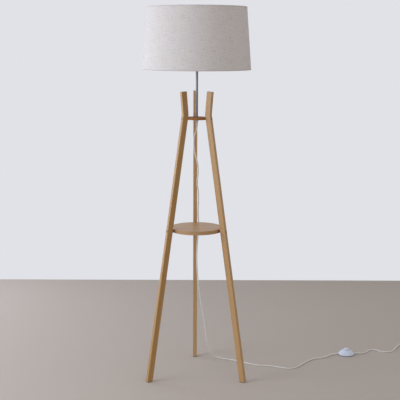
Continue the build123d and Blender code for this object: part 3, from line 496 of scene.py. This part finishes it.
def moulded(name, colour, roughness, wear=0.10, **sockets):
    """Moulded plastic: even in colour, with a fine spark-eroded grain and a little rubbing."""
    finish = Finish(name, base_color=paint(*colour), specular=0.5, **sockets)
    place = finish.place()
    grain = finish.noise(place, mould_grain, 2.0, 0.6)
    rub = finish.noise(place, mould_rub, 3.0)
    finish.set("Roughness", roughness + (rub - 0.5) * 2 * wear)
    finish.emboss(grain, mould_relief)
    return finish


sheathing = moulded("flex_sheathing", (221, 220, 219), 0.34, coat_weight=0.3)
for flex in (flex_to_switch, flex_to_plug):
    flex.data.materials.append(sheathing.material)
dress(sheathing, "stem_flex", "switch_flex", "cord_gland")


# ---------------------------------------------------------------- lampholder
# The holder screws on to the top of the stem: a white moulded cap, sleeve and ring, round a
# ceramic disc that carries the brass contacts.

holder_white = moulded("holder_white", (232, 230, 224), 0.38)
dress(holder_white, "holder_cap", "holder_sleeve", "shade_ring")
ceramic = moulded("ceramic", (214, 208, 194), 0.55, 0.06)
dress(ceramic, "holder_insulator", "bulb_contact", "switch_block")


# ---------------------------------------------------------------- bulb
# A plain globe bulb, blown from glass and frosted inside. Its plated cap screws into the
# holder's shell.

frost_thin = (226, 226, 222)
frost_thick = (242, 242, 238)
frost_clouds = (90.0, 90.0, 90.0)

frost = Finish("frosted_glass", roughness=0.28, coat_weight=1.0, coat_roughness=0.04)
frost_cloud = frost.noise(frost.place(), frost_clouds, 3.0)
frost.set("Base Color", frost.mix(frost_cloud, paint(*frost_thin), paint(*frost_thick)))
dress(frost, "bulb_glass")


# ---------------------------------------------------------------- shade
# A tapered drum: linen laid over a stiff white lining, wrapped once round with a short lap at the
# back. A tape of the same linen rolls round each rim and the wire ring inside it.

shade_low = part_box("shade_tape_bottom")[0][2]
shade_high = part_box("shade_tape_top")[1][2]
shade_low_radius = 0.225
shade_high_radius = 0.206
cover_thickness = 0.0009
cover_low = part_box("shade_cover")[0][2]
cover_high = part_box("shade_cover")[1][2]
lap_length = 0.012
lap_azimuth = math.radians(112)
lap_lift = 0.0011
lap_rise_angle = math.radians(4.0)
lap_steps = 12
cover_steps = 180
smooth_below = math.radians(35)

# The weave, and the patches to the metre that thick and dark threads make round and up the shade
thread_pitch = 0.00085
thread_wander = 5.0
slow_round = (35.0, 5.0, 1.0)
slow_up = (5.0, 35.0, 1.0)
slubs_up = (1300.0, 24.0, 1.0)
slubs_round = (24.0, 1300.0, 1.0)
linen_clouds = (190.0, 190.0, 1.0)
linen_heather = (420.0, 420.0, 1.0)
linen_relief = 0.00022


def shade_radius(height):
    """Outer radius of the linen at a height."""
    share = (height - shade_low) / (shade_high - shade_low)
    return shade_low_radius + share * (shade_high_radius - shade_low_radius)


def as_piece(form, name, finish):
    """Turns a finished form into a piece that rides on the stand."""
    for face in form.faces:
        face.smooth = True
    for edge in form.edges:
        edge.smooth = len(edge.link_faces) == 2 and edge.calc_face_angle() < smooth_below
    mesh = bpy.data.meshes.new(name)
    form.to_mesh(mesh)
    form.free()
    mesh.materials.append(finish.material)
    piece = bpy.data.objects.new(name, mesh)
    bpy.context.scene.collection.objects.link(piece)
    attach(piece, "stand")
    return piece


def outline(form, corners, azimuth=0.0):
    """A closed line of (radius, height) corners, standing at an azimuth."""
    turn = Matrix.Rotation(azimuth, 3, "Z")
    points = [form.verts.new(turn @ Vector((radius, 0.0, height))) for radius, height in corners]
    return [form.edges.new((a, b)) for a, b in zip(points, points[1:] + points[:1])]


def linen(name, warp_colour, weft_colour, slub_colour):
    """Plain-weave linen. Its map runs round the shade and up it, in metres."""
    finish = Finish(name, roughness=0.95, sheen_weight=0.15, sheen_roughness=0.6, specular=0.2)
    cloth = finish.add("ShaderNodeTexCoord", {}, {}, "UV")
    round_shade, up_shade, _ = finish.spread(cloth)
    thread = 2 * math.pi / thread_pitch
    warp_wander = finish.noise(cloth, slow_round) * thread_wander
    weft_wander = finish.noise(cloth, slow_up) * thread_wander
    warp = (round_shade * thread + warp_wander).wave()
    weft = (up_shade * thread + weft_wander).wave()
    slub_up = finish.noise(cloth, slubs_up, 3.0, 0.6)
    slub_round = finish.noise(cloth, slubs_round, 3.0, 0.6)
    cloud = finish.noise(cloth, linen_clouds, 3.0, 0.7)
    heather = finish.noise(cloth, linen_heather, 3.0, 0.75)
    ground = finish.mix(warp * 0.5 + slub_up * 0.5, paint(*warp_colour), paint(*weft_colour))
    dark = (
        slub_up.between(0.50, 0.74) * 0.5 + slub_round.between(0.48, 0.72) * 0.6
        + (heather - 0.5) * 1.2 + (cloud - 0.5) * 1.0
    )
    finish.set("Base Color", finish.mix(dark, ground, paint(*slub_colour)))
    finish.emboss(warp * weft * 0.6 + slub_round * 0.7 + slub_up * 0.7, linen_relief)
    return finish


cover_linen = linen("linen", (232, 231, 231), (222, 218, 218), (171, 164, 162))
rim_linen = linen("rim_linen", (226, 222, 222), (214, 208, 208), (164, 155, 153))

# The cover's section starts at the lap and sweeps round. Its last stretch lifts over the start
cover = bmesh.new()
cover_section = outline(
    cover,
    [
        (shade_radius(cover_low), cover_low),
        (shade_radius(cover_high), cover_high),
        (shade_radius(cover_high) - cover_thickness, cover_high),
        (shade_radius(cover_low) - cover_thickness, cover_low),
    ],
    lap_azimuth,
)
cover_start = set(cover.verts)
wrap = 2 * math.pi - lap_rise_angle
swept = bmesh.ops.spin(
    cover, geom=list(cover.verts) + cover_section, cent=(0, 0, 0), axis=(0, 0, 1),
    angle=wrap, steps=cover_steps, use_merge=False,
)
laid_flat = set(cover.verts)
lap_angle = lap_rise_angle + lap_length / shade_low_radius
end_of_wrap = [g for g in swept["geom_last"] if not isinstance(g, bmesh.types.BMFace)]
lapped = bmesh.ops.spin(
    cover, geom=end_of_wrap, cent=(0, 0, 0), axis=(0, 0, 1), angle=lap_angle, steps=lap_steps,
    use_merge=False,
)
unrolled = {}
for point in cover.verts:
    turned = (math.atan2(point.co.y, point.co.x) - lap_azimuth) % (2 * math.pi)
    if point in cover_start:
        turned = 0.0
    elif point not in laid_flat and turned < math.pi:
        turned += 2 * math.pi
    unrolled[point] = turned
for point in cover.verts:
    if point not in laid_flat:
        climb = min(1.0, (unrolled[point] - wrap) / lap_rise_angle)
        lift = lap_lift * climb * climb * (3 - 2 * climb)
        outwards = Vector((point.co.x, point.co.y, 0.0)).normalized()
        point.co += outwards * lift
end_of_lap = [g for g in lapped["geom_last"] if isinstance(g, bmesh.types.BMEdge)]
for section in (cover_section, end_of_lap):
    bmesh.ops.contextual_create(cover, geom=section)
bmesh.ops.recalc_face_normals(cover, faces=cover.faces)
cloth_map = cover.loops.layers.uv.new("cloth")
for face in cover.faces:
    for corner in face.loops:
        spot = corner.vert
        corner[cloth_map].uv = (unrolled[spot] * shade_low_radius, spot.co.z)
shade_linen = as_piece(cover, "shade_linen", cover_linen)
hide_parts("shade_cover")


tape_thickness = 0.0005
tape_band = 0.005
tape_off_linen = 0.0004
tape_off_wire = 0.0005
tape_roll_radius = 0.0022
tape_roll_steps = 6
ring_wire_width = 0.004
lining_inside = 0.0023


def rolled_tape(name, rim, inwards, ring_node):
    """Linen tape: a band outside, a roll round the rim and its wire, and a flap on the lining.

    rim is the rim's height, and inwards is 1 where the shade is above it and -1 where below.
    """
    band = shade_radius(rim) + tape_off_linen
    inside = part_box(ring_node)[1][0] - ring_wire_width - tape_off_wire
    lining = shade_radius(rim) - lining_inside
    roll = tape_roll_radius
    # The middle of the tape's thickness, as radius and distance from the rim
    middle = [(shade_radius(rim + inwards * tape_band) + tape_off_linen, tape_band)]
    quarter = [math.pi / 2 * step / tape_roll_steps for step in range(tape_roll_steps + 1)]
    for turned in quarter:
        middle.append((band - roll + roll * math.cos(turned), roll - roll * math.sin(turned)))
    for turned in quarter:
        middle.append((inside + roll - roll * math.sin(turned), roll - roll * math.cos(turned)))
    # Past the wire, back to the lining and along it
    middle += [
        (inside, 0.0048),
        (inside + 0.0012, 0.0064),
        (lining - 0.0002, 0.0080),
        (lining - 0.0008, 0.0140),
    ]
    tape = bmesh.new()
    half = tape_thickness / 2
    outer, inner = [], []
    for number, (radius, height) in enumerate(middle):
        before = Vector(middle[max(number - 1, 0)])
        after = Vector(middle[min(number + 1, len(middle) - 1)])
        along = (after - before).normalized()
        outer.append((radius - along.y * half, height + along.x * half))
        inner.append((radius + along.y * half, height - along.x * half))
    corners = [(radius, rim + inwards * (height + half)) for radius, height in outer + inner[::-1]]
    bmesh.ops.spin(
        tape, geom=list(tape.verts) + outline(tape, corners), cent=(0, 0, 0), axis=(0, 0, 1),
        angle=2 * math.pi, steps=cover_steps, use_merge=True,
    )
    bmesh.ops.recalc_face_normals(tape, faces=tape.faces)
    tape_map = tape.loops.layers.uv.new("cloth")
    for face in tape.faces:
        face_middle = face.calc_center_median()
        face_angle = math.atan2(face_middle.y, face_middle.x)
        for corner in face.loops:
            # A corner's angle is taken on its face's side of the half turn
            angle = math.atan2(corner.vert.co.y, corner.vert.co.x)
            angle += 2 * math.pi * round((face_angle - angle) / (2 * math.pi))
            radius = math.hypot(corner.vert.co.x, corner.vert.co.y)
            corner[tape_map].uv = (angle * shade_low_radius, corner.vert.co.z + radius)
    return as_piece(tape, name, rim_linen)


rim_below = rolled_tape("rim_tape_bottom", shade_low, 1, "shade_bottom_ring")
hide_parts("shade_tape_bottom")
rim_above = rolled_tape("rim_tape_top", shade_high, -1, "shade_top_ring")
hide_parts("shade_tape_top")

styrene_dull = (232, 229, 222)
styrene_clean = (240, 238, 233)
styrene_clouds = (30.0, 30.0, 30.0)

styrene = Finish("styrene_lining", roughness=0.5, specular=0.4)
styrene_cloud = styrene.noise(styrene.place(), styrene_clouds, 3.0)
styrene.set("Base Color", styrene.mix(styrene_cloud, paint(*styrene_dull), paint(*styrene_clean)))
dress(styrene, "shade_lining")
dress(
    moulded("white_enamel", (228, 226, 220), 0.35),
    "shade_spider", "shade_bottom_ring", "shade_top_ring",
)


# ---------------------------------------------------------------- foot switch
# A round two-part case of white plastic on a dark rubber pad, with one domed button that
# clicks down underfoot. The case's blue tint is painted reflection of the cool window light.

# White plastic with a blue tint painted in as reflection of the cool window light
switch_white_and_painted_reflection = moulded("switch_white_and_painted_reflection", (206, 217, 236), 0.32, coat_weight=0.2)
dress(switch_white_and_painted_reflection, "switch_cover", "switch_button")
dress(moulded("switch_under", (46, 44, 44), 0.5), "switch_base", "switch_clamps")
dress(moulded("pad_rubber", (52, 52, 54), 0.8), "switch_pad")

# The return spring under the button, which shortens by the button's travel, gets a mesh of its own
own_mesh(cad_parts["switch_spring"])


# ---------------------------------------------------------------- plug
# A flat two-pin plug and its tapered relief, moulded on to the end of the flex in the same milky
# white.

dress(moulded("plug_white", (222, 220, 216), 0.36), "plug_body", "plug_relief")


# ---------------------------------------------------------------- floor and light
# A plain pale floor meets a plain pale wall. Two broad soft lights stand on the left, one in
# front of the lamp and one behind, and the rest comes evenly from all round.

floor_colour = (189, 181, 174)
wall_colour = (225, 226, 231)
wall_distance = 1.67
stage_reach = 9.0
window_colour = (236, 243, 255)
room_colour = (236, 231, 228)
room_strength = 0.78


def stage_plane(name, colour, turn, place, own_light=False):
    """A plain plane that the lamp isn't part of. It isn't seen from its own far side."""
    finish = Finish(name, base_color=paint(*colour), roughness=0.9, specular=0.1)
    surface = Signal(finish, finish.shader.outputs[0])
    path = finish.add("ShaderNodeLightPath", {}, {}).socket.node
    seen = Signal(finish, path.outputs["Is Camera Ray"])
    if own_light:
        mirrored = seen
        for ray in ("Is Glossy Ray", "Is Transmission Ray"):
            mirrored = mirrored.maths("MAXIMUM", mirrored, Signal(finish, path.outputs[ray]))
        glow = finish.add("ShaderNodeEmission", {}, {"Color": paint(*colour), "Strength": 1.0})
        surface = finish.add("ShaderNodeMixShader", {}, {0: mirrored, 1: surface, 2: glow})
    far_side = finish.add("ShaderNodeNewGeometry", {}, {}, "Backfacing")
    clear = finish.add("ShaderNodeBsdfTransparent", {}, {})
    surface = finish.add("ShaderNodeMixShader", {}, {0: seen * far_side, 1: surface, 2: clear})
    finish.tree.links.new(surface.socket, finish.output.inputs["Surface"])
    form = bmesh.new()
    bmesh.ops.create_grid(form, x_segments=1, y_segments=1, size=stage_reach)
    form.transform(Matrix.Translation(place) @ Euler(turn).to_matrix().to_4x4())
    mesh = bpy.data.meshes.new(name)
    form.to_mesh(mesh)
    form.free()
    mesh.materials.append(finish.material)
    plane = bpy.data.objects.new(name, mesh)
    bpy.context.scene.collection.objects.link(plane)


stage_plane("floor", floor_colour, turn=(0, 0, 0), place=(0, 0, 0))
stage_plane("wall", wall_colour, turn=(math.pi / 2, 0, 0), place=(0, wall_distance, 0), own_light=True)


def soft_light(name, place, aim, width, height, power):
    """A broad soft light of cool daylight, of that power in watts, that faces a point."""
    light = bpy.data.lights.new(name, "AREA")
    light.shape = "RECTANGLE"
    light.size = width
    light.size_y = height
    light.energy = power
    light.color = paint(*window_colour)[:3]
    holder = bpy.data.objects.new(name, light)
    holder.location = place
    holder.rotation_euler = (Vector(aim) - Vector(place)).to_track_quat("-Z", "Y").to_euler()
    bpy.context.scene.collection.objects.link(holder)


soft_light(
    "window", place=(-2.7, -1.2, 1.5), aim=(0.0, 0.0, 1.1), width=1.8, height=1.4, power=45.0,
)
soft_light(
    "side_window", place=(-2.2, 1.2, 1.0), aim=(0.0, 0.0, 0.6), width=1.0, height=1.6, power=16.0,
)

world = bpy.data.worlds.new("room")
world.use_nodes = True
room_light = world.node_tree.nodes["Background"]
room_light.inputs["Color"].default_value = paint(*room_colour)
room_light.inputs["Strength"].default_value = room_strength
bpy.context.scene.world = world
bpy.context.scene.view_settings.view_transform = "Standard"
